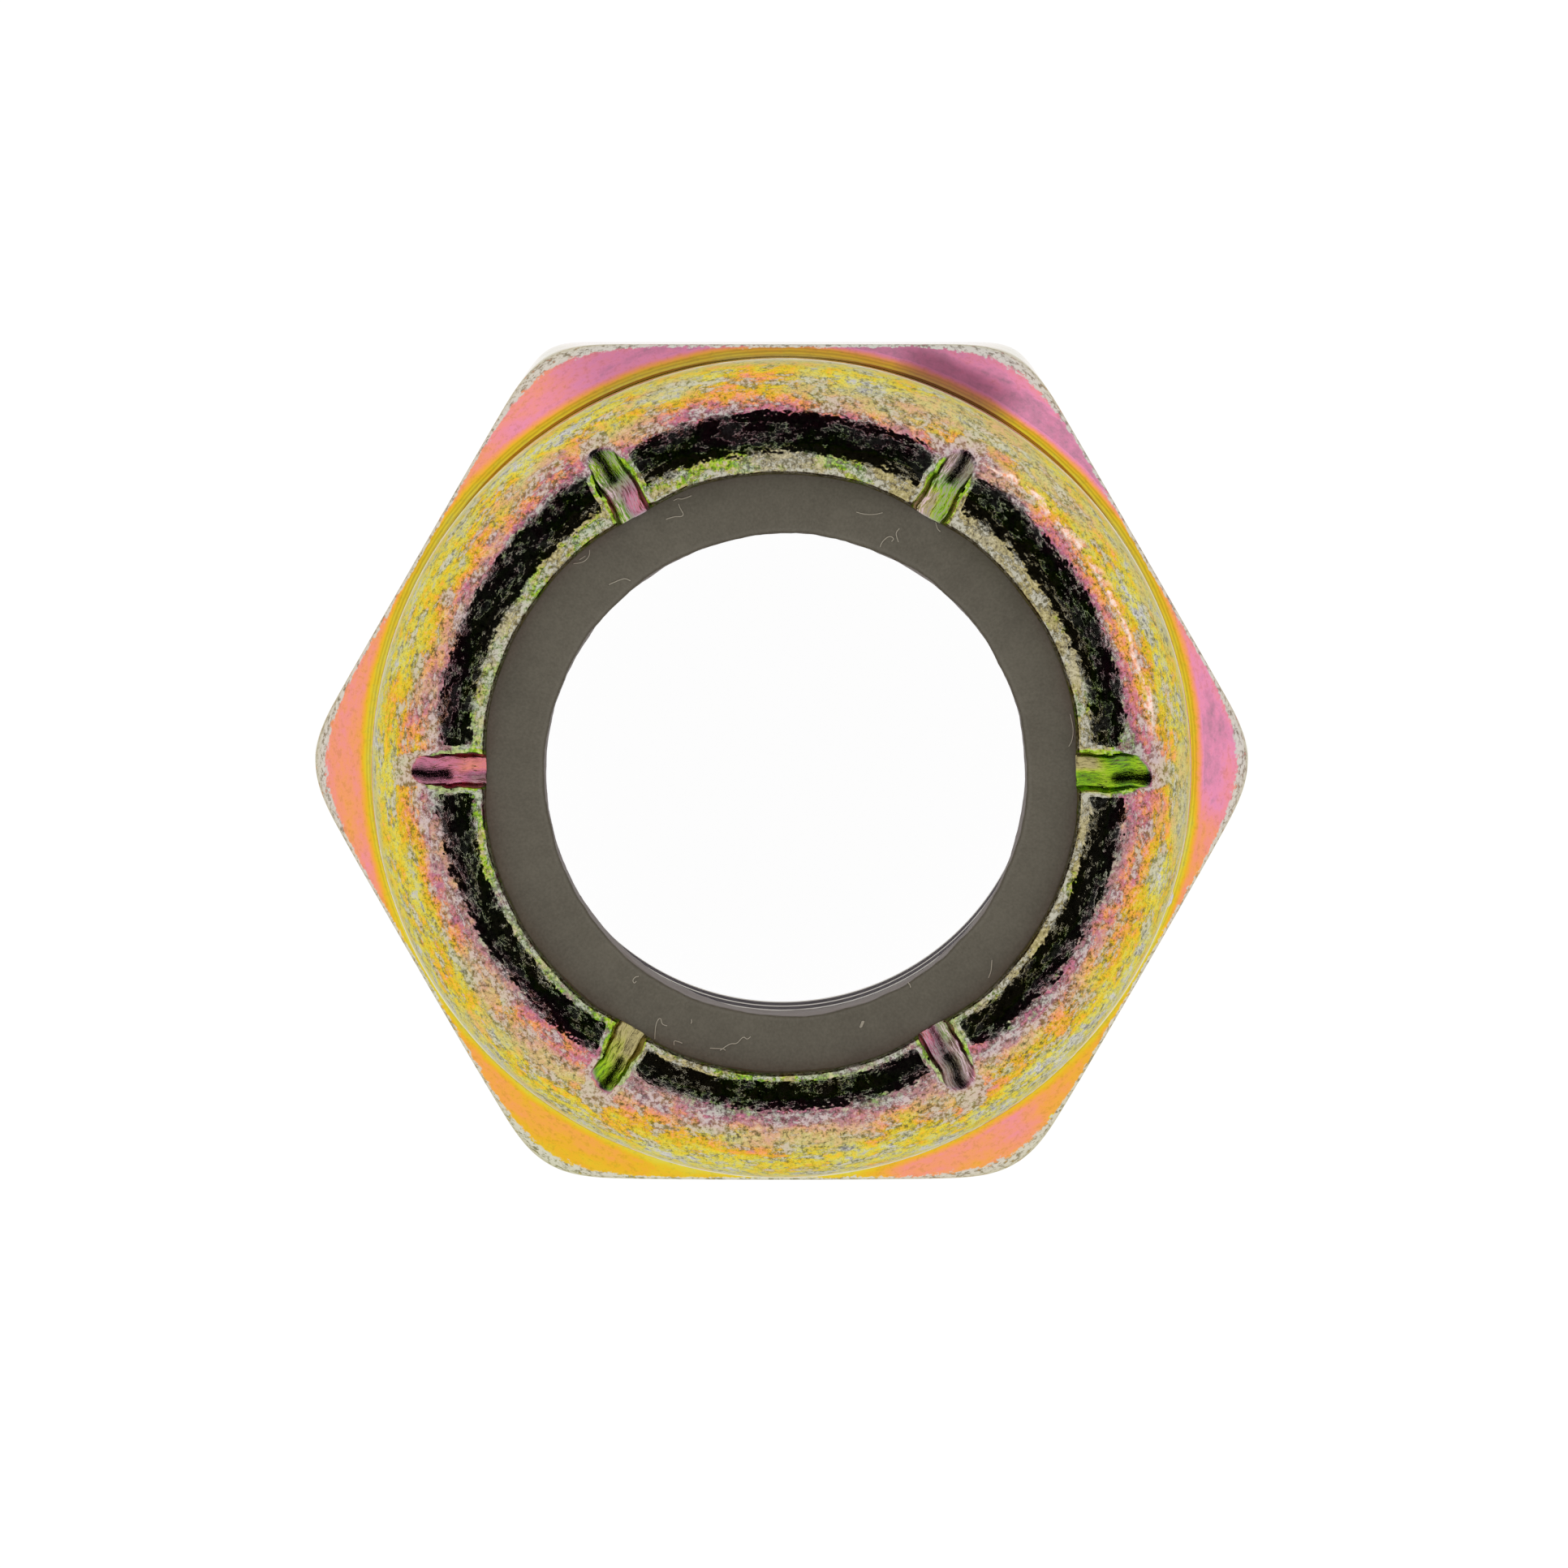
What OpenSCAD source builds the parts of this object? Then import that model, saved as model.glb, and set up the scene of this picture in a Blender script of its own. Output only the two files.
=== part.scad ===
// Hexagon lock nut with a nylon ring held in a turned collar, in millimetres.
// The bearing face lies on z = 0, the thread axis is z and the corners point along x.

/* [Hexagon] */
// Distance between opposite wrench flats
across_flats = 26.9; // [25:0.1:30]
// Height of a flat at its middle, where the sloping shoulder meets it
flat_h = 14.3; // [11:0.1:16]
// Rounding of the six upright corners, seen from above
corner_r = 1.6; // [0.6:0.1:3]
// Rounding where the shoulder turns down into the upright corners
corner_top_r = 1.2; // [0.4:0.1:1.6]
// Slope of the shoulder above the hexagon, in degrees
shoulder_angle = 30; // [15:1:38]
// Distance that the round bearing face stays inside the flats
bearing_inset = 0.9; // [0.4:0.1:1.6]
// Slope of the chamfer round the bearing face, in degrees
bearing_angle = 30; // [15:1:40]

/* [Collar] */
// Height of the whole nut over its crown
overall_h = 22.2; // [20.6:0.1:25]
// Distance that the collar stays inside the flats
collar_inset = 0.4; // [0.2:0.1:0.9]
// Rounding in the corner between the collar and the shoulder
collar_foot_r = 0.8; // [0.3:0.1:1.4]
// Outer radius of the crown, where the collar is rolled inwards
crown_r = 2.6; // [2:0.1:3]
// Thickness of the collar wall round the nylon ring
collar_wall = 1.3; // [0.9:0.05:1.6]
// Thickness of the rolled lip above the nylon ring, at the top of the crown
lip_t = 1.05; // [0.8:0.05:1.3]
// Width of the round opening inside the rolled lip
lip_opening_d = 18.8; // [18:0.1:20.4]
// Rounding of the free edge of the lip
lip_edge_r = 0.4; // [0.2:0.05:0.4]

/* [Notches] */
// Number of notches pressed across the crown, the first at a corner
notch_count = 6; // [3:1:12]
// Depth of a notch below the top of the crown
notch_depth = 0.5; // [0.3:0.05:0.7]
// Radius of a notch's round floor
notch_r = 0.65; // [0.6:0.05:1]
// Width that each edge of a notch is laid back at the top of the crown
notch_flare = 0.1; // [0.05:0.01:0.12]

/* [Thread] */
// Inner diameter of the thread, over its crests
thread_minor_d = 16.7; // [16.3:0.05:16.85]
// Width of the countersink at the bearing face
countersink_d = 19.8; // [19.1:0.1:21]
// Slope of the countersink's wall from the axis, in degrees
countersink_angle = 45; // [30:1:60]

/* [Nylon ring] */
// Height of the nylon ring
insert_t = 3.6; // [2.6:0.1:4.2]
// Bore of the nylon ring, smaller than the thread so that it grips the bolt
insert_bore_d = 15.3; // [14.8:0.05:16]
// Rounding of the ring's shoulder, which the rolled lip presses down
insert_shoulder_r = 1.4; // [0.8:0.1:1.6]
// Rounding at both ends of the ring's bore
insert_edge_r = 0.2; // [0.1:0.05:0.4]
// Clearance round the ring and above it, inside the collar
insert_gap = 0.02; // [0.01:0.01:0.1]

/* [Hidden] */

$fn = 96;

// Amount that a cutting shape reaches past the surface that it cuts
cut_past = 1;

// Sides of the hexagon, and the angle from a corner to the middle of a flat
hex_sides = 6;
half_side_angle = 180 / hex_sides;

// Radii that follow from the hexagon
flat_r = across_flats / 2;
corner_centre_r = (flat_r - corner_r) / cos(half_side_angle);
corner_reach_r = corner_centre_r + corner_r;
bearing_r = flat_r - bearing_inset;

// Radii and heights of the collar and its crown
collar_r = flat_r - collar_inset;
crown_centre_r = collar_r - crown_r;
crown_centre_z = overall_h - crown_r;
lip_r = lip_opening_d / 2;
shoulder_drop = tan(shoulder_angle);
shoulder_foot_z = flat_h + collar_inset * shoulder_drop;
corner_top_z = shoulder_foot_z - (corner_reach_r - collar_r) * shoulder_drop;

// The space that holds the nylon ring
cavity_r = collar_r - collar_wall;
cavity_top_z = overall_h - lip_t;
cavity_floor_z = cavity_top_z - insert_gap - insert_t;
cavity_shoulder_r = insert_shoulder_r + insert_gap;

// The bore
thread_r = thread_minor_d / 2;
countersink_r = countersink_d / 2;
countersink_h = (countersink_r - thread_r) / tan(countersink_angle);
insert_bore_r = insert_bore_d / 2;

// Point at distance r and angle a from a centre
function polar(centre, r, a) = centre + r * [cos(a), sin(a)];

// Heading of the line from one point to another, in degrees
function heading(from, to) = atan2(to[1] - from[1], to[0] - from[0]);

// Sliver between two lines that meet at tip and the arc of radius r that touches both
module corner_sliver(tip, towards_a, towards_b, r) {
    heading_a = heading(tip, towards_a);
    heading_b = heading(tip, towards_b);
    turn = acos(cos(heading_a - heading_b)) / 2;
    middle = heading(
        tip,
        polar(tip, 1, heading_a) + polar([0, 0], 1, heading_b)
    );
    difference() {
        polygon([
            tip,
            polar(tip, r / tan(turn), heading_a),
            polar(tip, r / sin(turn), middle),
            polar(tip, r / tan(turn), heading_b)
        ]);
        translate(polar(tip, r / sin(turn), middle))
            circle(r = r);
    }
}

// Hexagon seen from above, with round corners
module rounded_hexagon() {
    polygon([
        for (i = [0 : hex_sides - 1], side = [-1, 1])
            polar(
                polar([0, 0], corner_centre_r, i * 2 * half_side_angle),
                corner_r,
                i * 2 * half_side_angle + side * half_side_angle
            )
    ]);
    for (i = [0 : hex_sides - 1])
        translate(polar([0, 0], corner_centre_r, i * 2 * half_side_angle))
            circle(r = corner_r);
}

// Half section of the outside: bearing chamfer, corners, shoulder, collar and crown
module outside_section() {
    chamfer_h = (corner_reach_r - bearing_r) * tan(bearing_angle);
    corner_bottom = [corner_reach_r, chamfer_h];
    corner_top = [corner_reach_r, corner_top_z];
    foot = [collar_r, shoulder_foot_z];
    collar_top = [collar_r, crown_centre_z];
    difference() {
        polygon([
            [0, 0],
            [bearing_r, 0],
            corner_bottom,
            corner_top,
            foot,
            collar_top,
            [0, crown_centre_z]
        ]);
        corner_sliver(corner_top, corner_bottom, foot, corner_top_r);
    }
    corner_sliver(foot, corner_top, collar_top, collar_foot_r);
    translate([crown_centre_r, crown_centre_z])
        circle(r = crown_r);
}

// Half section of the space inside: countersink, bore, nylon ring's seat and lip opening
module inside_section() {
    polygon([
        [0, -cut_past],
        [countersink_r + cut_past * tan(countersink_angle), -cut_past],
        [thread_r, countersink_h],
        [thread_r, cavity_floor_z],
        [lip_r, cavity_floor_z],
        [lip_r, overall_h + cut_past],
        [0, overall_h + cut_past]
    ]);
    difference() {
        translate([0, cavity_floor_z])
            square([cavity_r, cavity_top_z - cavity_floor_z]);
        corner_sliver(
            [cavity_r, cavity_top_z],
            [0, cavity_top_z],
            [cavity_r, cavity_floor_z],
            cavity_shoulder_r
        );
    }
    lip_edge_sliver();
}

// Sliver that rounds the free edge of the lip, between its opening and the rolled crown
module lip_edge_sliver() {
    edge_centre_r = lip_r + lip_edge_r;
    edge_centre_z = crown_centre_z
        + sqrt(pow(crown_r - lip_edge_r, 2) - pow(crown_centre_r - edge_centre_r, 2));
    edge_centre = [edge_centre_r, edge_centre_z];
    crown_heading = heading([crown_centre_r, crown_centre_z], edge_centre);
    touch = polar(edge_centre, lip_edge_r, crown_heading);
    difference() {
        polygon([
            [lip_r, edge_centre_z],
            [lip_r, overall_h],
            [touch[0], overall_h],
            touch,
            edge_centre
        ]);
        translate(edge_centre)
            circle(r = lip_edge_r);
    }
}

// Half section of the steel body
module body_section() {
    difference() {
        outside_section();
        inside_section();
    }
}

// One notch in the crown, along x: a round floor, and edges laid back at 45 degrees
module notch() {
    half_width = sqrt(pow(notch_r, 2) - pow(notch_r - notch_depth, 2));
    flare_bottom = notch_depth - 2 * notch_flare;
    flare_top = notch_depth + cut_past;
    translate([lip_r - cut_past, 0, overall_h - notch_depth])
        rotate([90, 0, 90])
            linear_extrude(collar_r - lip_r + 2 * cut_past) {
                translate([0, notch_r])
                    circle(r = notch_r);
                polygon([
                    [half_width - notch_flare, flare_bottom],
                    [half_width + notch_flare + cut_past, flare_top],
                    [-half_width - notch_flare - cut_past, flare_top],
                    [-half_width + notch_flare, flare_bottom]
                ]);
            }
}

// Steel body: hexagon, collar with rolled lip, threaded bore and notched crown
module nut_body() {
    color([0.80, 0.66, 0.32])
        difference() {
            intersection() {
                linear_extrude(overall_h)
                    rounded_hexagon();
                rotate_extrude()
                    body_section();
            }
            for (i = [0 : notch_count - 1])
                rotate(i * 360 / notch_count)
                    notch();
        }
}

// Nylon ring, seated on the floor of its space under the rolled lip
module nylon_insert() {
    outer_r = cavity_r - insert_gap;
    bottom_z = cavity_floor_z;
    top_z = bottom_z + insert_t;
    color([0.34, 0.33, 0.29])
        rotate_extrude()
            difference() {
                translate([insert_bore_r, bottom_z])
                    square([outer_r - insert_bore_r, insert_t]);
                corner_sliver([outer_r, top_z], [0, top_z], [outer_r, bottom_z], insert_shoulder_r);
                corner_sliver(
                    [insert_bore_r, top_z],
                    [outer_r, top_z],
                    [insert_bore_r, bottom_z],
                    insert_edge_r
                );
                corner_sliver(
                    [insert_bore_r, bottom_z],
                    [outer_r, bottom_z],
                    [insert_bore_r, top_z],
                    insert_edge_r
                );
            }
}

nut_body();
nylon_insert();
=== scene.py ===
import math
import bpy
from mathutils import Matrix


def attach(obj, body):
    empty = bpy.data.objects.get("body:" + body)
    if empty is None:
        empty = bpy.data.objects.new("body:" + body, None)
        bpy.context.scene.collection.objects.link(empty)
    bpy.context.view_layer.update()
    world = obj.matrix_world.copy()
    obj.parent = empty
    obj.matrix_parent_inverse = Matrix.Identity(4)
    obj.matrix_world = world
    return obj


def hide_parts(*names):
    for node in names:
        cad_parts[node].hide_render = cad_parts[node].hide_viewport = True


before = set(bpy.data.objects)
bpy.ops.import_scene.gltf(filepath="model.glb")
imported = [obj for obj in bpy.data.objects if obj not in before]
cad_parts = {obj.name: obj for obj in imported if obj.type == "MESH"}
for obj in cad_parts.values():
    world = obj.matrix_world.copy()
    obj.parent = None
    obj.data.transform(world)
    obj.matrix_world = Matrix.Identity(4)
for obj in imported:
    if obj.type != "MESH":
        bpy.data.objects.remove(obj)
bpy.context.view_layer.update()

# Steel body: cold formed hexagon, round collar and six-notched crown, then tapped.
# Its yellow passivated film shows interference colours and is rubbed to bare zinc on the edges.
# Its lip is rolled in over the nylon ring last, which holds the ring for good.

TURN = 2 * math.pi
MM = 0.001

# Radii, heights and centres of arcs in the section, in millimetres. PAST_CORNER_R is beyond
# the corners, so that the hexagon cuts the shoulder and the bearing chamfer all round
FLAT_R = 13.449
BEARING_R = 12.55
BEARING_EDGE_R = 0.13
PAST_CORNER_R = 15.9
SLOPE = math.tan(math.radians(30))
COLLAR_R = 13.05
SHOULDER_FOOT_Z = 14.531
FOOT_CENTRE = (13.85, 14.993)
FOOT_R = 0.8
CROWN_CENTRE = (10.45, 19.6)
CROWN_R = 2.6
LIP_R = 9.4
LIP_EDGE_CENTRE = (9.8, 21.702)
LIP_EDGE_R = 0.4
LIP_EDGE_START = 107.2
SEAT_TOP_Z = 21.15
SEAT_FLOOR_Z = 17.53
SEAT_R = 11.75
SEAT_ROUND_R = 1.42
ENTRY_R = 9.9
ENTRY_H = 1.55

# The thread, 3/4 in by 10 to the inch, and the heights of its rows from the middle of a crest
PITCH = 2.54
THREAD_ROWS = (1.12, 0.95, 0.3175, -0.3175, -0.95, -1.12)

# What each row of the section carries besides its place: the film's thickness, how far it is
# rubbed and mottled, and which forms the row takes part in
MARKS = ("film", "wear", "mottle", "rolled", "lip", "shoulder", "threaded", "helical")


class Wire:
    """A node's socket. Arithmetic on it adds Math nodes, and node() adds any other node."""

    def __init__(self, tree, socket=None):
        self.tree = tree
        self.socket = socket

    def node(self, kind, settings=None, values=None, out=0):
        made = self.tree.nodes.new(kind)
        for name, value in (settings or {}).items():
            if name == "stops":
                ramp = made.color_ramp.elements
                while len(ramp) < len(value):
                    ramp.new(0.5)
                for stop, (position, colour) in zip(ramp, value):
                    stop.position = position
                    stop.color = (*colour, 1)
            else:
                setattr(made, name, value)
        for key, value in (values or {}).items():
            if isinstance(value, Wire):
                self.tree.links.new(value.socket, made.inputs[key])
            else:
                made.inputs[key].default_value = value
        return Wire(self.tree, made.outputs[out] if made.outputs else None)

    def other(self, name):
        """Another output of the same node."""
        return Wire(self.tree, self.socket.node.outputs[name])

    def math(self, operation, *others):
        values = dict(enumerate((self, *others)))
        return self.node("ShaderNodeMath", {"operation": operation}, values)

    def __add__(self, other):
        return self.math("ADD", other)

    def __sub__(self, other):
        return self.math("SUBTRACT", other)

    def __rsub__(self, other):
        return self.node("ShaderNodeMath", {"operation": "SUBTRACT"}, {0: other, 1: self})

    def __mul__(self, other):
        return self.math("MULTIPLY", other)

    def __truediv__(self, other):
        return self.math("DIVIDE", other)

    def __pow__(self, other):
        return self.math("POWER", other)

    def __abs__(self):
        return self.math("ABSOLUTE")

    __radd__ = __add__

    def rise(self, low, high):
        """0 below low, 1 above high, and a smooth step between."""
        return self.node(
            "ShaderNodeMapRange",
            {"interpolation_type": "SMOOTHSTEP"},
            {"Value": self, "From Min": low, "From Max": high},
        )

    def hump(self, reach):
        """1 where the wire is 0, falling to nothing on both sides."""
        return (self / reach * (self / reach) * -1).math("EXPONENT")

    def swing(self, reach):
        """Noise as a swing round nothing, of up to about half the reach to each side."""
        return (self - 0.5) * reach

    def mixed(self, other, share):
        """This number, turned into the other one by a share from 0 to 1."""
        return self.node("ShaderNodeMix", {}, {0: share, 2: self, 3: other})


def arc(centre, radius, start, end, steps):
    """Points on an arc of the section, by angle in degrees from the outward direction."""
    angles = [math.radians(start + (end - start) * i / steps) for i in range(steps + 1)]
    return [(centre[0] + radius * math.cos(a), centre[1] + radius * math.sin(a)) for a in angles]


def line(start, end, steps):
    """Points on a straight line of the section."""
    shares = [i / steps for i in range(steps + 1)]
    return [tuple(a + (b - a) * s for a, b in zip(start, end)) for s in shares]


def run(points, **marks):
    """Rows of a section; a mark is one number, or a pair from the first row to the last."""
    rows = []
    for i, (r, z) in enumerate(points):
        share = i / max(len(points) - 1, 1)
        row = dict.fromkeys(MARKS, 0.0)
        for name, value in marks.items():
            first, last = value if isinstance(value, tuple) else (value, value)
            row[name] = first + (last - first) * share
        rows.append((r, z, row))
    return rows


def slope_z(r):
    """Height of the shoulder's cone."""
    return SHOULDER_FOOT_Z - (r - COLLAR_R) * SLOPE


def chamfer_z(r):
    """Height of the bearing chamfer's cone."""
    return (r - BEARING_R) * SLOPE


edge_in, edge_out = BEARING_R - BEARING_EDGE_R, BEARING_R + BEARING_EDGE_R
chamfer = line((edge_out, chamfer_z(edge_out)), (PAST_CORNER_R, chamfer_z(PAST_CORNER_R)), 10)
shoulder = line((PAST_CORNER_R, slope_z(PAST_CORNER_R)), (FLAT_R, slope_z(FLAT_R)), 16)
foot = arc(FOOT_CENTRE, FOOT_R, 240, 180, 6)
crown = arc(CROWN_CENTRE, CROWN_R, 0, LIP_EDGE_START, 36)
lip_edge = arc(LIP_EDGE_CENTRE, LIP_EDGE_R, LIP_EDGE_START, 180, 6)
seat_round = arc((SEAT_R - SEAT_ROUND_R, SEAT_TOP_Z - SEAT_ROUND_R), SEAT_ROUND_R, 90, 0, 5)
crests = [i * PITCH for i in range(8, -2, -1)]
turns = [crest + z for crest in crests for z in THREAD_ROWS]
turns = [SEAT_FLOOR_Z, *(z for z in turns if ENTRY_H - PITCH < z < SEAT_FLOOR_Z)]

body_section = [
    *run([(ENTRY_R, 0), (11.2, 0), (edge_in, 0)], film=0.3, mottle=0.6, wear=0.35),
    *run([(BEARING_R, 0.02)], film=0.3, mottle=0.6, wear=0.9),
    *run(chamfer, film=(0.35, 0.45), mottle=0.4, wear=(0.3, 0.1)),
    *run(line(chamfer[-1], shoulder[0], 7)[1:-1], film=0.32, mottle=0.4),
    *run(shoulder[:16], film=(0.39, 0.47), shoulder=1),
    *run(shoulder[16:], film=0.33, shoulder=1),
    *run(foot[1:3], film=(0.22, 0.17)),
    *run(foot[3:], film=(0.16, 0.14), mottle=(0, 0.3)),
    *run(line((COLLAR_R, FOOT_CENTRE[1]), crown[0], 5)[1:-1], film=0.15, mottle=0.6),
    *run(crown[:6], film=(0.14, 0.17), mottle=(0.3, 0.8), rolled=1),
    *run(crown[6:14], film=(0.14, 0.18), mottle=(0.9, 1), rolled=1),
    *run(crown[14:19], film=(0.18, 0.27), mottle=1, rolled=1),
    *run(crown[19:25], film=(0.3, 0.52), mottle=1, rolled=1),
    *run(crown[25:31], film=(0.6, 0.74), mottle=1, rolled=1),
    *run(crown[31:], film=(0.94, 0.97), mottle=1, rolled=1, lip=(0.1, 0.9)),
    *run(lip_edge[1:], film=0.95, mottle=1, rolled=1, lip=1),
    *run([(LIP_R, 21.22), (LIP_R + 0.07, SEAT_TOP_Z)], film=0.5, lip=1),
    *run([*seat_round, (SEAT_R, SEAT_FLOOR_Z)], film=0.4),
    *run([(0, z) for z in turns], threaded=1, helical=1, film=0.02),
    *run(line((0, ENTRY_H), (0, 0), 8)[:-1], threaded=1, film=0.02),
    *run([(ENTRY_R, 0)], film=0.3, mottle=0.6, wear=0.35),
]


def section_piece(rows):
    """An object of loose points, one for each row, with the marks as attributes."""
    mesh = bpy.data.meshes.new("section")
    mesh.from_pydata([(r, 0, z) for r, z, _ in rows], [], [])
    for mark in MARKS:
        values = [marks[mark] for _, _, marks in rows]
        mesh.attributes.new(mark, "FLOAT", "POINT").data.foreach_set("value", values)
    piece = bpy.data.objects.new("section", mesh)
    bpy.context.scene.collection.objects.link(piece)
    return piece


def new_tree(name, sizes):
    """A Geometry Nodes tree with a named input for each size, and a wire for each input."""
    tree = bpy.data.node_groups.new(name, "GeometryNodeTree")
    kinds = {
        float: "NodeSocketFloat",
        int: "NodeSocketInt",
        bpy.types.Material: "NodeSocketMaterial",
    }
    for direction in ("INPUT", "OUTPUT"):
        tree.interface.new_socket("Geometry", in_out=direction, socket_type="NodeSocketGeometry")
    for size, value in sizes.items():
        tree.interface.new_socket(size, in_out="INPUT", socket_type=kinds[type(value)])
    group = tree.nodes.new("NodeGroupInput")
    return {socket.name: Wire(tree, socket) for socket in group.outputs if socket.name}


def finish_piece(piece, tree, sizes, name, node=None):
    """Run the tree on the piece, keep the result as a plain mesh and place it in the frame."""
    modifier = piece.modifiers.new(tree.name, "NODES")
    modifier.node_group = tree
    for item in tree.interface.items_tree:
        if item.in_out == "INPUT" and item.name in sizes:
            modifier[item.identifier] = sizes[item.name]
    evaluated = piece.evaluated_get(bpy.context.evaluated_depsgraph_get())
    mesh = bpy.data.meshes.new_from_object(evaluated)
    mesh.name = name
    made = bpy.data.objects.new(name, mesh)
    bpy.context.scene.collection.objects.link(made)
    bpy.data.objects.remove(piece)
    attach(made, "root")
    if node:
        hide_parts(node)
    return made


def turning_grid(given, rows, per_sextant):
    """A grid of columns round the axis and rows along the section, and what each point samples."""
    blank = given["Geometry"]
    counts = {"Vertices X": 6 * per_sextant + 1, "Vertices Y": rows}
    grid = blank.node("GeometryNodeMeshGrid", {}, {"Size X": 1.0, "Size Y": 1.0, **counts})
    place = blank.node("GeometryNodeInputPosition")
    x = place.node("ShaderNodeSeparateXYZ", {}, {0: place})
    column = ((x + 0.5) * (6 * per_sextant)).math("ROUND")
    row = ((x.other("Y") + 0.5) * (rows - 1)).math("ROUND")

    def sampled(kind, value):
        values = {"Geometry": blank, "Value": value, "Index": row}
        return blank.node("GeometryNodeSampleIndex", {"data_type": kind}, values)

    mark = {}
    for name in MARKS:
        values = {"Name": name}
        value = blank.node("GeometryNodeInputNamedAttribute", {"data_type": "FLOAT"}, values)
        mark[name] = sampled("FLOAT", value)
    point = sampled("FLOAT_VECTOR", place)
    r = point.node("ShaderNodeSeparateXYZ", {}, {0: point})
    return grid, column, r, r.other("Z"), mark


# Edges that turn more than this stay sharp, and rows closer than this are welded, in metres
SHARP_ANGLE = math.radians(32)
WELD_DISTANCE = 1e-6


def close_and_end(given, geometry, marks, x, y, z):
    """Keep the marks, move the grid to its places, weld its seams and give it its material."""
    for name, value in marks.items():
        values = {"Geometry": geometry, "Name": name, "Value": value}
        geometry = x.node("GeometryNodeStoreNamedAttribute", {"data_type": "FLOAT"}, values)
    place = x.node("ShaderNodeCombineXYZ", {}, {0: x * MM, 1: y * MM, 2: z * MM})
    geometry = x.node("GeometryNodeSetPosition", {}, {"Geometry": geometry, "Position": place})
    values = {"Geometry": geometry, "Distance": WELD_DISTANCE}
    geometry = x.node("GeometryNodeMergeByDistance", {}, values)
    values = {"Geometry": geometry, "Shade Smooth": True}
    geometry = x.node("GeometryNodeSetShadeSmooth", {}, values)
    sharp = x.node("GeometryNodeInputMeshEdgeAngle").math("GREATER_THAN", SHARP_ANGLE)
    values = {"Geometry": geometry, "Selection": sharp, "Shade Smooth": False}
    geometry = x.node("GeometryNodeSetShadeSmooth", {"domain": "EDGE"}, values)
    geometry = x.node("GeometryNodeRealizeInstances", {}, {"Geometry": geometry})
    values = {"Geometry": geometry, "Material": given["Material"]}
    geometry = x.node("GeometryNodeSetMaterial", {}, values)
    x.node("NodeGroupOutput", {}, {"Geometry": geometry})


# The film's colours by its thickness, from bare zinc to the green of the second order
PLATE_STOPS = [
    (0.00, (212, 210, 208)),
    (0.08, (212, 207, 124)),
    (0.15, (222, 208, 74)),
    (0.22, (228, 198, 46)),
    (0.30, (236, 180, 46)),
    (0.38, (244, 166, 80)),
    (0.46, (244, 154, 118)),
    (0.53, (240, 146, 154)),
    (0.60, (234, 146, 180)),
    (0.66, (182, 128, 150)),
    (0.76, (150, 146, 118)),
    (0.83, (104, 156, 44)),
    (0.89, (156, 194, 36)),
    (0.95, (184, 184, 90)),
    (1.00, (178, 166, 116)),
]


def linear(colour):
    """A colour as the screen shows it, from 0 to 255, as the linear values that nodes mix."""
    shares = [c / 255 for c in colour]
    return tuple(s / 12.92 if s <= 0.04045 else ((s + 0.055) / 1.055) ** 2.4 for s in shares)


def new_material(name):
    """A material, a blank wire in its tree, and its surface shader."""
    material = bpy.data.materials.new(name)
    material.use_nodes = True
    return material, Wire(material.node_tree), material.node_tree.nodes["Principled BSDF"]


def mix_colour(a, b, share):
    """Colour a turned into colour b by a share; at least one of the three is a wire."""
    wire = next(value for value in (share, a, b) if isinstance(value, Wire))
    a, b = [c if isinstance(c, Wire) else (*linear(c), 1) for c in (a, b)]
    return wire.node("ShaderNodeMix", {"data_type": "RGBA"}, {0: share, 6: a, 7: b}, 2)


def feed(shader, **sockets):
    """Link wires to the shader's sockets, or set plain values on them."""
    for name, value in sockets.items():
        socket = shader.inputs[name.replace("_", " ")]
        if isinstance(value, Wire):
            value.tree.links.new(value.socket, socket)
        else:
            socket.default_value = value


def round_places(blank, around):
    """Places in millimetres for patterns that are drawn out round the axis."""
    place = blank.node("ShaderNodeTexCoord", {}, {}, "Object")
    x = place.node("ShaderNodeSeparateXYZ", {}, {0: place})
    y, z = x.other("Y"), x.other("Z")
    r = (x * x + y * y) ** 0.5
    x, y, r, z = x / r, y / r, r / MM, z / MM
    vector = r.node("ShaderNodeCombineXYZ", {}, {0: x * around, 1: y * around, 2: r})
    return {"x": x, "y": y, "r": r, "z": z, "vector": vector}


def grain(places, size, detail=2.0, roughness=0.55, seed=0.0):
    """Noise from 0 to 1, mostly near a half, with grains of about a size in millimetres."""
    values = {"Vector": places["vector"], "W": places["z"] + seed, "Scale": 1 / size}
    values.update({"Detail": detail, "Roughness": roughness})
    return places["z"].node("ShaderNodeTexNoise", {"noise_dimensions": "4D"}, values)


def facing(places, angle):
    """1 on the side of the nut that faces an angle in degrees from +X, and -1 opposite."""
    angle = math.radians(angle)
    return places["x"] * math.cos(angle) + places["y"] * math.sin(angle)


def carried(blank, name):
    """A mark that the mesh carries."""
    return blank.node("ShaderNodeAttribute", {"attribute_name": name}, {}, "Fac")


# Colours on the plate besides those of the film, some as pairs from dark to light. The zinc pair
# and the lilac zinc pair are painted shade and painted light on one colour. The dark purple is a
# painted reflection of the camera, the crevice colour is painted shade and the glint is a painted
# highlight
TURNING_MARKS = (134, 104, 16)
ZINC_SHADED_AND_LIT = ((88, 86, 76), (198, 196, 186))
LILAC_ZINC_SHADED_AND_HIGHLIT = ((148, 130, 136), (236, 196, 214))
PALE_FILM = (190, 184, 164)
DARK_RED_FILM = (126, 52, 60)
DARK_PURPLE_REFLECTION = (104, 44, 66)
PAINTED_CREVICE_SHADE = (74, 58, 38)
GLINT = (246, 234, 204)
WORN = ((108, 116, 98), (204, 208, 196))
BURNISHED = ((250, 170, 130), (255, 232, 220))
THREAD = (190, 186, 192)

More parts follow.
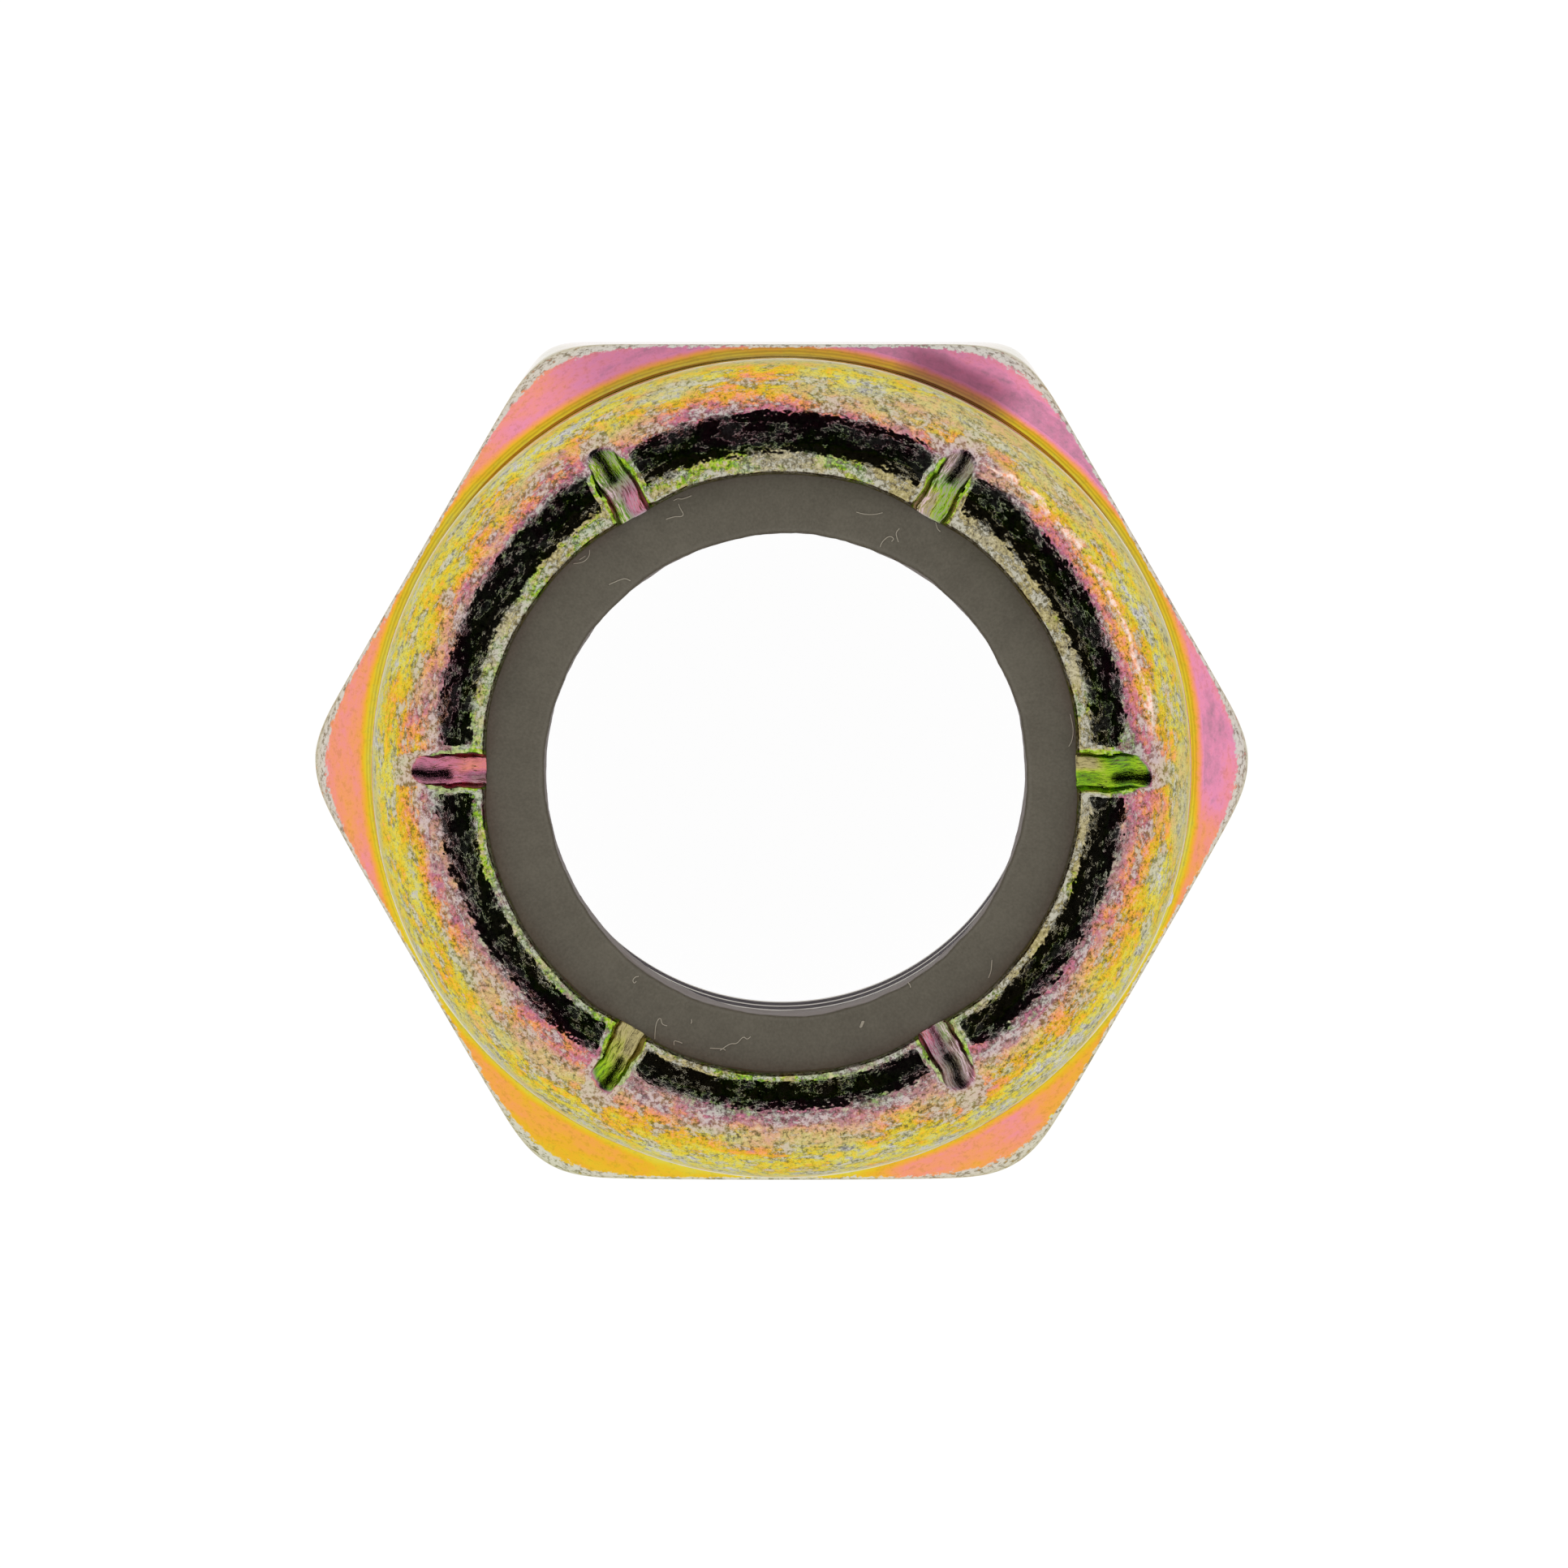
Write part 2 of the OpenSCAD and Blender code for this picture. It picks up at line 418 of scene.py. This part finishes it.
plate, blank, shader = new_material("plated steel")
drawn_out = round_places(blank, 5)
even = round_places(blank, 11)
film, wear, mottle, notch = (carried(blank, name) for name in ("film", "wear", "mottle", "notch"))
across, rim, laid_back = (carried(blank, name) for name in ("across", "rim", "laid back"))
smooth = 1 - mottle
crown_skin = mottle * (1 - notch)
broad = grain(drawn_out, size=3)
pale = grain(drawn_out, size=1.8, roughness=0.5, seed=50)
patches = grain(drawn_out, size=0.8, detail=3, roughness=0.6, seed=10)
bare = grain(drawn_out, size=0.4, detail=6, roughness=0.75, seed=20)
hammered = grain(even, size=0.4, roughness=0.5, seed=40)
small = grain(even, size=0.28, detail=3, roughness=0.65, seed=15)
crinkle = grain(even, size=0.14, detail=3, roughness=0.7, seed=30)

# Along the notches, the punch has drawn fine streaks
STREAK_WIDTH = 0.045
STREAK_LENGTH = 0.4
values = {0: across / STREAK_WIDTH, 1: even["r"] / STREAK_LENGTH, 2: even["x"] * 9}
values = {"Vector": across.node("ShaderNodeCombineXYZ", {}, values), "Scale": 1.0}
values.update({"Detail": 4.0, "Roughness": 0.75, "Distortion": 0.3})
streaks = across.node("ShaderNodeTexNoise", {}, values)
fine = crinkle.mixed(streaks, notch)

# The film is thicker towards the top of the picture and at the left and right corners, and at
# one place of the shoulder it is thick enough to be pink. The crown's film varies the most
at_right, at_left, at_lower_left = (facing(even, angle).rise(0.985, 1) for angle in (0, 180, 240))
pink_place = facing(even, 294.8).rise(0.963, 0.993) * even["r"].rise(15.3, 14) * smooth
thicker = facing(even, 69.6) + abs(even["x"]).rise(0.9, 1) * 0.3
thicker = thicker - even["y"].rise(-0.5, -0.9) * 0.15 + pink_place * 1.25
thicker = thicker * (smooth * 0.2 + 0.11) + even["x"].rise(0.2, 1) * mottle * 0.14
film = film * (1 + thicker + at_right * 0.2 + broad.swing(1.1))
film = (film + patches.swing(0.3) * smooth).math("MINIMUM", mottle + 0.635)
film = film + (patches.swing(0.9) + small.swing(0.5) + crinkle.swing(0.25)) * mottle
film = film + crinkle.swing(0.12) + small.swing(0.12)

# The notches are green and purple, each in its own way, and their laid back edges are green
notch_film = 0.71 + streaks.swing(0.3) + broad.swing(1.2)
notch_film = notch_film + at_right * 0.34 + at_lower_left * 0.2 - at_left * 0.06
notch_film = notch_film + even["r"].rise(10.4, 9.7) * across.rise(-0.1, 0.2) * 0.2
film = film.mixed(notch_film, notch)
laid_back = (laid_back + small.swing(0.5)).rise(0.25, 0.5) * (1 - notch)
film = film.mixed(0.88 + small.swing(0.3), laid_back)

# A few round pits in the flats and the shoulder have next to no film
values = {"Vector": even["vector"], "W": even["z"], "Scale": 0.8}
pits = blank.node("ShaderNodeTexVoronoi", {"voronoi_dimensions": "4D"}, values, "Distance")
pits = (pits + (broad - 0.46) * 1.5 + crinkle.swing(0.1)).rise(0.1, 0.06) * smooth
film = film * (1 - pits)
stops = [(thickness, linear(colour)) for thickness, colour in PLATE_STOPS]
film_colour = film.node("ShaderNodeValToRGB", {"stops": stops}, {0: film})

# Turning marks in the foot of the collar, in a dark olive band that grows darker towards the top
# of the picture
rings = (even["r"] / 0.018 + small * 3).math("SINE") * 0.5 + 0.5
in_foot = even["r"].rise(13.03, 13.08) * even["r"].rise(13.4, 13.3) * even["z"].rise(14, 14.4)
marked = in_foot * (rings * 0.36 + even["y"].rise(-0.5, 1) * 0.22)
film_colour = mix_colour(film_colour, TURNING_MARKS, marked)

# Flakes of bare zinc, most of them round the crown's inner half and beside the notches
inner_half = (even["r"] - 11.1).hump(0.6) * 0.022 + (even["r"] - 9.6).hump(0.3) * 0.05
flakes = bare + (inner_half + 0.006) * mottle + rim * 0.18 - smooth * 0.2 - laid_back * 0.6
in_colour = at_right * 0.3 + at_left * 0.08 + at_lower_left * 0.24
flakes = flakes.mixed(streaks * 0.7 + 0.18 - in_colour, notch)
# Painted shade along the flakes' edges and round the small grains, part of the crown's painted
# crevice shade
outline_shade = (flakes - 0.535).hump(0.012) + (small - 0.5).hump(0.012) * 0.8
flakes = flakes.rise(0.53, 0.57)
# The flakes' zinc is painted shaded or lit by the crinkle. In the notches its lilac is painted
# highlighted along the streaks on one side and painted shaded elsewhere
zinc_with_painted_light = mix_colour(*ZINC_SHADED_AND_LIT, fine.rise(0.38, 0.56))
lilac_with_painted_light = mix_colour(*LILAC_ZINC_SHADED_AND_HIGHLIT, across.rise(0.12, 0.3) * streaks.rise(0.4, 0.6))
zinc_with_painted_light = mix_colour(zinc_with_painted_light, lilac_with_painted_light, notch * 0.85)
zinc_with_painted_light = mix_colour(zinc_with_painted_light, film_colour, 0.22)

# The crown's crinkled skin: pale patches, dark red where the film is thickest, painted shade in
# the crevices round the grains and painted glints on them. The painted crevice shade also falls in
# the notches and faintly all over the plate. The outer part of the crown is smoother, with less
# painted shade and fewer painted glints
smoother = even["r"].rise(11.6, 12.3) * mottle
crevice_shade = (0.5 - fine).rise(0, 0.16) * (mottle * 0.6 + notch * 0.36 + 0.16 - smoother * 0.38)
crevice_shade = crevice_shade + (0.46 - small).rise(0, 0.14) * mottle * 0.2 + outline_shade * crown_skin * 0.5
glints = (fine - 0.5).rise(0.03, 0.12) * crown_skin * (0.3 - smoother * 0.2)
dark_red = film.rise(0.42, 0.56) * film.rise(0.74, 0.66) * mottle
film_colour = mix_colour(film_colour, PALE_FILM, pale.rise(0.49, 0.6) * crown_skin * 0.5)
film_colour = mix_colour(film_colour, DARK_RED_FILM, dark_red * 0.4)
film_colour = mix_colour(film_colour, PAINTED_CREVICE_SHADE, crevice_shade.math("MINIMUM", 0.9))
film_colour = mix_colour(film_colour, GLINT, glints)

# Painted dark reflection of the camera overhead: the shoulder is dark purple along the top, most
# of all right of the middle
painted_reflection = facing(even, 65.8).rise(0.98, 0.999) * even["r"].rise(14.5, 13.8) * 0.7
painted_reflection = painted_reflection.math("MAXIMUM", even["y"].rise(0.82, 0.93) * 0.3) * smooth
film_colour = mix_colour(film_colour, DARK_PURPLE_REFLECTION, painted_reflection)

# The edges are rubbed, and the thread has hardly any film
worn = (wear + small.swing(0.8) + crinkle.swing(1.6)).rise(0.36, 0.62)
worn_colour = mix_colour(*WORN, crinkle.rise(0.36, 0.54))
film_colour = mix_colour(film_colour, worn_colour, worn * 0.86)
in_thread = even["r"].rise(9.35, 9.2)
film_colour = mix_colour(film_colour, THREAD, in_thread)

# A ragged line on the crown's upper right, where it was rubbed bright against something hard
burnished_side = facing(even, 31.5).rise(0.883, 0.923) * (1 - notch)
burnish = (even["r"] - 11.75 + patches.swing(0.9)).hump(0.1) * burnished_side
burnish = burnish * (bare + small.swing(0.8)).rise(0.4, 0.54)
plate_colour = mix_colour(film_colour, zinc_with_painted_light, flakes)
plate_colour = mix_colour(plate_colour, mix_colour(*BURNISHED, crinkle.rise(0.35, 0.6)), burnish)

height = hammered * (mottle * 0.44 + 0.1) * (1 - notch * 0.7)
height = height + crinkle * (flakes * (1 - notch) * 0.07 + 0.012) + streaks * notch * 0.16
feed(
    shader,
    Base_Color=plate_colour,
    Metallic=1.0,
    Specular_Tint=(0.74, 0.72, 0.6, 1),
    Roughness=flakes * (1 - notch) * 0.08 + in_thread * 0.3 + 0.05,
    Normal=height.node("ShaderNodeBump", {}, {"Distance": 0.05 * MM, "Height": height}),
)

# Columns of the grid in a sixth of a turn, and their spacing at a corner against the mean
PER_SEXTANT = 106
CROWDING = 0.3

# How far the film is rubbed off an edge, in and out, as shares of the edge's rounding
RUBBED_IN = 0.3
RUBBED_OUT = 2.2

body_sizes = {
    "Flat radius": FLAT_R,
    "Corner rounding": 1.5,
    "Upper corner rounding": 2.9,
    "Edge rounding": 0.38,
    "Top corner rounding": 1.5,
    "Top corner angle": 0.24,
    "Dent depth": 0.012,
    "Lip push": 0.13,
    "Lip push reach": 1.3,
    "Lip shift": 0.09,
    "Dip depth": 0.2,
    "Dip reach": 0.9,
    "Notch floor height": 21.7,
    "Notch floor radius": 0.75,
    "Notch half width": 0.45,
    "Notch wall steepness": 2.6,
    "Notch edge rounding": 0.06,
    "Laid back width": 0.34,
    "Laid back slope": 0.5,
    "Notch wander": 0.4,
    "Notch tilt": 0.4,
    "Notch shift spread": 0.16,
    "Notch height spread": 0.1,
    "Notch width spread": 0.08,
    "Notch inner slope": 0.34,
    "Thread pitch": PITCH,
    "Thread inner radius": 8.35,
    "Thread outer radius": 9.6,
    "Seed": 7,
    "Material": plate,
}
given = new_tree("nut body", body_sizes)
grid, column, r, z, mark = turning_grid(given, len(body_section), PER_SEXTANT)

# Angle round the axis, with the columns crowded at the corners, where the notches are too
sextant = (column / PER_SEXTANT + 0.5).math("FLOOR")
share = column / PER_SEXTANT - sextant
from_corner = (share * CROWDING + share * share * share * (4 - 4 * CROWDING)) * (TURN / 6)
angle = sextant * (TURN / 6) + from_corner
cosine, sine = angle.math("COSINE"), angle.math("SINE")
number = sextant.math("MODULO", 6) + given["Seed"]
white_noise = {"noise_dimensions": "1D"}
shift_chance, tilt_chance, height_chance = (
    number.node("ShaderNodeTexWhiteNoise", white_noise, {"W": number + 0.3 * i}, "Value")
    for i in range(3)
)

# The hexagon cuts the turned shape, with soft edges that the film is rubbed from. The corners
# are fuller below, because the steel didn't fill the die up to the shoulder
side_a = given["Flat radius"] / (TURN / 12 - from_corner).math("COSINE")
side_b = given["Flat radius"] / (TURN / 12 + from_corner).math("COSINE")
rounding = given["Upper corner rounding"].mixed(given["Corner rounding"], z.rise(14, 5))
hexagon_r = side_a.math("SMOOTH_MIN", side_b, rounding)
at_corner = abs(from_corner).rise(given["Top corner angle"], 0.0) * mark["shoulder"]
softness = given["Edge rounding"].mixed(given["Top corner rounding"], at_corner)
past_edge = (hexagon_r - r) / (softness * RUBBED_IN)
past_edge = past_edge.math("MAXIMUM", (r - hexagon_r) / (softness * RUBBED_OUT))
level_edge = 1 - past_edge.math("MINIMUM", 1.0)
upright_edge = 1 - (abs(side_a - side_b) / rounding).math("MINIMUM", 1.0)
upright_edge = upright_edge * (r - hexagon_r).rise(-0.3, 0.1)
r = r.math("SMOOTH_MIN", hexagon_r, softness)

# Small dents in the crown, and the lip pushed in beside each notch
direction = cosine.node("ShaderNodeCombineXYZ", {}, {0: cosine * 5, 1: sine * 5, 2: r})
values = {"Vector": direction, "W": z, "Scale": 1.1, "Detail": 3.0}
dents = direction.node("ShaderNodeTexNoise", {"noise_dimensions": "4D"}, values)
shrink = 1 - dents * given["Dent depth"] * mark["rolled"]
values = {"Vector": direction, "W": z + given["Seed"], "Scale": 1.6, "Detail": 2.0}
wander = direction.node("ShaderNodeTexNoise", {"noise_dimensions": "4D"}, values)
from_line = r * from_corner.math("SINE") + shift_chance.swing(given["Notch shift spread"])
from_line = from_line + wander.swing(given["Notch wander"])
across = abs(from_line)
push = across.hump(given["Lip push reach"]) - 0.45 + dents.swing(1.2)
r = (r - CROWN_CENTRE[0]) * shrink + CROWN_CENTRE[0] - push * given["Lip push"] * mark["lip"]
r = r - sine * given["Lip shift"] * mark["lip"]
z = (z - CROWN_CENTRE[1]) * shrink + CROWN_CENTRE[1]

# The notches, and the dip that pressing them leaves round their outer ends
steepness = (z - CROWN_CENTRE[1]) / CROWN_R
dip = across.hump(given["Dip reach"]) * steepness * r.rise(10.3, 11.6)
dipped = z - dip * given["Dip depth"]
notch_z = given["Notch floor height"] + across * across / (given["Notch floor radius"] * 2)
notch_z = notch_z + from_line * tilt_chance.swing(given["Notch tilt"])
notch_z = notch_z + height_chance.swing(given["Notch height spread"])
inward = (10.5 - r).math("MAXIMUM", 0.0)
notch_z = notch_z - inward * (height_chance * 0.5 + 0.75) * given["Notch inner slope"]
past_floor = across - given["Notch half width"] - tilt_chance.swing(given["Notch width spread"])
laid_back = (given["Laid back width"] - past_floor) / given["Laid back width"]
laid_back = laid_back.math("MAXIMUM", 0.0).math("MINIMUM", 0.6) * (dipped - notch_z).rise(0, 0.2)
dipped = dipped - laid_back * given["Laid back width"] * given["Laid back slope"]
notch_z = notch_z + past_floor.math("MAXIMUM", 0.0) * given["Notch wall steepness"]
pressed = dipped.math("SMOOTH_MIN", notch_z, given["Notch edge rounding"])
recess = (dipped - notch_z).rise(-0.03, 0.06) * mark["rolled"]
rim = (dipped - notch_z).rise(-0.6, -0.1) * (1 - recess) * mark["rolled"]
z = z.mixed(pressed, mark["rolled"])

# The right-hand thread climbs one pitch in a turn, and ends at the ring's seat and the entry.
# Its flanks slope 30 degrees, with a flat crest of a quarter of the pitch
climb = angle / TURN * given["Thread pitch"]
climbing = (z + climb).math("MINIMUM", SEAT_FLOOR_Z).math("MAXIMUM", ENTRY_H)
z = z.mixed(climbing, mark["helical"])
from_crest = (z - climb).math("PINGPONG", given["Thread pitch"] / 2)
thread_r = (from_crest - given["Thread pitch"] / 8) * math.tan(math.radians(60))
thread_r = (thread_r + given["Thread inner radius"]).math("MAXIMUM", given["Thread inner radius"])
thread_r = thread_r.math("MINIMUM", given["Thread outer radius"]).math("MAXIMUM", ENTRY_R - z)
r = r.mixed(thread_r, mark["threaded"])

# What the finished mesh carries for its material
marks = {
    "film": mark["film"],
    "wear": mark["wear"].math("MAXIMUM", level_edge * 0.9).math("MAXIMUM", upright_edge * 0.7),
    "mottle": mark["mottle"],
    "notch": recess,
    "rim": rim,
    "laid back": laid_back * mark["rolled"],
    "across": from_line,
}
close_and_end(given, grid, marks, r * cosine, r * sine, z)
piece = section_piece(body_section)
finish_piece(piece, r.tree, body_sizes, "nut_body_steel", "nut_body")

# Nylon ring: moulded warm grey nylon, pressed down into the body's seat under the lip.
# Its bore is smaller than the thread and a little off centre, and a bolt cuts its own way in.

RING_BORE_R = 7.65
RING_OUTER_R = 11.73
RING_TOP_Z = 21.13
RING_EDGE_R = 0.2
RING_ROUND_R = 1.4

# Radii between which the ring's top is plain, and where its section starts, underneath
RING_TOP_OUTER_R = 10.0
RING_TOP_INNER_R = 8.2
RING_START_R = 9.4

round_centre = (RING_OUTER_R - RING_ROUND_R, RING_TOP_Z - RING_ROUND_R)
edge_r = RING_BORE_R + RING_EDGE_R
inner_top = arc((edge_r, RING_TOP_Z - RING_EDGE_R), RING_EDGE_R, 90, 180, 5)
inner_bottom = arc((edge_r, SEAT_FLOOR_Z + RING_EDGE_R), RING_EDGE_R, 180, 270, 4)
ring_section = [
    *run([(RING_START_R, SEAT_FLOOR_Z), (RING_OUTER_R, SEAT_FLOOR_Z)]),
    *run(arc(round_centre, RING_ROUND_R, 0, 90, 6)),
    *run(line((RING_TOP_OUTER_R, RING_TOP_Z), (RING_TOP_INNER_R, RING_TOP_Z), 6)),
    *run(inner_top, lip=1),
    *run(line(inner_top[-1], inner_bottom[0], 8)[1:-1], lip=1),
    *run(inner_bottom, lip=1),
    *run([(RING_START_R, SEAT_FLOOR_Z)]),
]

NYLON = ((81, 75, 62), (100, 94, 80))
WARM_NYLON = (104, 66, 46)

# Matt nylon with a fine grain. Light shines through the edge of its bore, which looks warmer
nylon, blank, shader = new_material("nylon")
even = round_places(blank, 10)
fine = grain(even, size=0.09, detail=3, roughness=0.6)
broad = grain(even, size=1.6, detail=3, roughness=0.6, seed=5)
nylon_colour = mix_colour(*NYLON, (fine * 0.6 + broad * 0.4).rise(0.25, 0.75))
in_bore = even["z"].rise(21.05, 20.8) * even["r"].rise(8.1, 7.95)
height = fine * 0.7 + broad
feed(
    shader,
    Base_Color=mix_colour(nylon_colour, WARM_NYLON, in_bore * 0.6),
    Roughness=fine * 0.2 + 0.4,
    Normal=height.node("ShaderNodeBump", {}, {"Distance": 0.008 * MM, "Height": height}),
)

RING_PER_SEXTANT = 50
ring_sizes = {
    "Bore shift to the right": 0.13,
    "Bore shift downwards": 0.16,
    "Bore waviness": 0.3,
    "Material": nylon,
}
given = new_tree("nylon ring", ring_sizes)
grid, column, r, z, mark = turning_grid(given, len(ring_section), RING_PER_SEXTANT)
angle = column / RING_PER_SEXTANT * (TURN / 6)
cosine, sine = angle.math("COSINE"), angle.math("SINE")
direction = cosine.node("ShaderNodeCombineXYZ", {}, {0: cosine * 7, 1: sine * 7, 2: z})
values = {"Vector": direction, "Scale": 0.45, "Detail": 4.0, "Roughness": 0.6}
waves = direction.node("ShaderNodeTexNoise", {}, values)
r = r + (waves - 0.5) * given["Bore waviness"] * mark["lip"]
x = r * cosine + given["Bore shift to the right"] * mark["lip"]
y = r * sine - given["Bore shift downwards"] * mark["lip"]
close_and_end(given, grid, {}, x, y, z)
finish_piece(section_piece(ring_section), r.tree, ring_sizes, "nylon_ring", "nylon_insert")

# Lint: pale fibres of cloth that have fallen on the nylon ring and cling to it.
# Each is one thin bent fibre, and the last three lie side by side as a speck of fluff.

LINT_COLOUR = (166, 158, 142)
LINT_Z = RING_TOP_Z + 0.015

# Points on each fibre, in millimetres from the nut's axis
lint_paths = [
    [(-3.42, 8.54), (-3.3, 8.6), (-3.13, 8.6), (-2.85, 8.7)],
    [(-3.26, 8.44), (-3.21, 8.3), (-3.11, 8.11), (-3.19, 8.04), (-3.4, 8.03), (-3.66, 7.95)],
    [(-6.08, 6.98), (-6.09, 6.82), (-6.19, 6.67), (-6.36, 6.58), (-6.59, 6.55)],
    [(-6.4, 6.67), (-6.21, 6.79)],
    [(-5.47, 5.88), (-5.29, 5.96), (-4.98, 6.07), (-4.78, 6.0)],
    [(-4.02, -8.53), (-4.0, -8.19), (-3.94, -7.96), (-3.84, -7.87), (-3.78, -8.05),
     (-3.63, -8.11)],
    [(-3.41, -8.72), (-3.39, -8.59), (-3.15, -8.66)],
    [(-1.95, -8.89), (-1.64, -8.69), (-1.42, -8.66), (-1.22, -8.47), (-1.09, -8.53),
     (-0.98, -8.45)],
    [(-2.27, -8.82), (-1.87, -8.84), (-1.78, -8.89)],
    [(-4.53, -6.54), (-4.63, -6.56), (-4.71, -6.66), (-4.67, -6.75), (-4.6, -6.69)],
    [(-2.86, -7.9), (-2.85, -8.0), (-2.88, -8.03)],
    [(2.37, 8.18), (2.66, 8.11), (2.96, 8.11), (3.2, 8.16)],
    [(3.12, 7.07), (3.19, 7.23), (3.35, 7.38), (3.47, 7.4), (3.55, 7.33), (3.48, 7.25)],
    [(3.73, 7.66), (3.63, 7.5), (3.7, 7.23)],
    [(4.88, 7.86), (4.94, 7.66), (5.03, 7.56)],
    [(4.01, -6.73), (4.07, -6.81), (4.09, -6.89)],
    [(6.56, -6.59), (6.64, -6.36), (6.67, -6.02)],
    [(9.1, 0.75), (9.2, 0.95), (9.24, 1.31), (9.15, 1.78)],
    [(2.48, -8.16), (2.56, -7.96)],
    [(2.51, -8.17), (2.59, -7.95)],
    [(2.54, -8.15), (2.62, -7.96)],
]
points = []
edges = []
for path in lint_paths:
    edges += [(len(points) + i, len(points) + i + 1) for i in range(len(path) - 1)]
    points += [(x * MM, y * MM, LINT_Z * MM) for x, y in path]
mesh = bpy.data.meshes.new("lint paths")
mesh.from_pydata(points, edges, [])
paths = bpy.data.objects.new("lint paths", mesh)
bpy.context.scene.collection.objects.link(paths)

fluff, blank, shader = new_material("lint")
feed(shader, Base_Color=(*linear(LINT_COLOUR), 1), Roughness=0.9)

lint_sizes = {"Fibre radius": 0.014, "Points along": 24, "Points round": 6, "Material": fluff}
given = new_tree("lint", lint_sizes)
curve = given["Geometry"].node("GeometryNodeMeshToCurve", {}, {"Mesh": given["Geometry"]})
curve = curve.node("GeometryNodeCurveSplineType", {"spline_type": "CATMULL_ROM"}, {"Curve": curve})
values = {"Curve": curve, "Count": given["Points along"]}
curve = curve.node("GeometryNodeResampleCurve", {}, values)
values = {"Resolution": given["Points round"], "Radius": given["Fibre radius"] * MM}
profile = curve.node("GeometryNodeCurvePrimitiveCircle", {}, values)
values = {"Curve": curve, "Profile Curve": profile, "Fill Caps": True}
fibres = curve.node("GeometryNodeCurveToMesh", {}, values)
fibres = fibres.node("GeometryNodeRealizeInstances", {}, {"Geometry": fibres})
values = {"Geometry": fibres, "Material": given["Material"]}
fibres = fibres.node("GeometryNodeSetMaterial", {}, values)
fibres.node("NodeGroupOutput", {}, {"Geometry": fibres})
finish_piece(paths, fibres.tree, lint_sizes, "lint")

# Where the nut lies: a plain white floor, lit evenly from all sides, with a dark camera overhead.
# The floor shows white to the camera and to reflections, and keeps a faint shadow.

FLOOR_HALF = 1.5
FLOOR_Z = -0.02 * MM
FLOOR_COLOUR = (200, 200, 200)
FLOOR_SEEN_COLOUR = (90, 90, 90)
FLOOR_GLOW = 0.96

mesh = bpy.data.meshes.new("floor")
corners = [(-1, -1), (1, -1), (1, 1), (-1, 1)]
points = [(x * FLOOR_HALF, y * FLOOR_HALF, FLOOR_Z) for x, y in corners]
mesh.from_pydata(points, [], [(0, 1, 2, 3)])
floor = bpy.data.objects.new("floor", mesh)
bpy.context.scene.collection.objects.link(floor)
floor_white, blank, shader = new_material("floor white")
camera_ray = blank.node("ShaderNodeLightPath", {}, {}, "Is Camera Ray")
seen = camera_ray.math("MAXIMUM", camera_ray.other("Is Glossy Ray"))
seen = seen.math("MAXIMUM", camera_ray.other("Is Transmission Ray"))
feed(
    shader,
    Base_Color=mix_colour(FLOOR_COLOUR, FLOOR_SEEN_COLOUR, seen),
    Roughness=1.0,
    Specular_IOR_Level=0.0,
    Emission_Color=(1, 1, 1, 1),
    Emission_Strength=seen * FLOOR_GLOW,
)
mesh.materials.append(floor_white)

# The light: white from all sides, and in reflections a dark round where the camera and the
# person behind it stood. It leans with the camera, and gives the crown its black arcs
DARK_LEAN = math.radians(12)
DARK_EDGE_OUT = math.cos(math.radians(30))
DARK_EDGE_IN = math.cos(math.radians(28))

world = bpy.data.worlds.new("even light")
world.use_nodes = True
bpy.context.scene.world = world
blank = Wire(world.node_tree)
way = blank.node("ShaderNodeTexCoord", {}, {}, "Generated")
values = {0: way, 1: (0, math.sin(DARK_LEAN), math.cos(DARK_LEAN))}
overhead = way.node("ShaderNodeVectorMath", {"operation": "DOT_PRODUCT"}, values, "Value")
glossy_ray = blank.node("ShaderNodeLightPath", {}, {}, "Is Glossy Ray")
darkness = overhead.rise(DARK_EDGE_OUT, DARK_EDGE_IN) * glossy_ray
sky = mix_colour((255, 255, 255), (20, 20, 22), darkness)
world.node_tree.links.new(sky.socket, world.node_tree.nodes["Background"].inputs["Color"])

# The camera stands high over the nut and leans a little towards the top of the picture.

PICTURE_WIDTH = 50.46 * MM
LEAN = math.radians(2.09)
AIM = (0.078 * MM, -0.697 * MM, 14 * MM)
DISTANCE = 461 * MM
SENSOR_WIDTH = 36

camera_data = bpy.data.cameras.new("camera")
camera_data.sensor_width = SENSOR_WIDTH
camera_data.lens = SENSOR_WIDTH * DISTANCE / PICTURE_WIDTH
camera_data.clip_start = 0.01
camera_data.clip_end = 10
camera = bpy.data.objects.new("camera", camera_data)
camera.location = (
    AIM[0],
    AIM[1] + math.sin(LEAN) * DISTANCE,
    AIM[2] + math.cos(LEAN) * DISTANCE,
)
camera.rotation_euler = (-LEAN, 0, 0)
bpy.context.scene.collection.objects.link(camera)
bpy.context.scene.camera = camera
bpy.context.scene.view_settings.view_transform = "Standard"
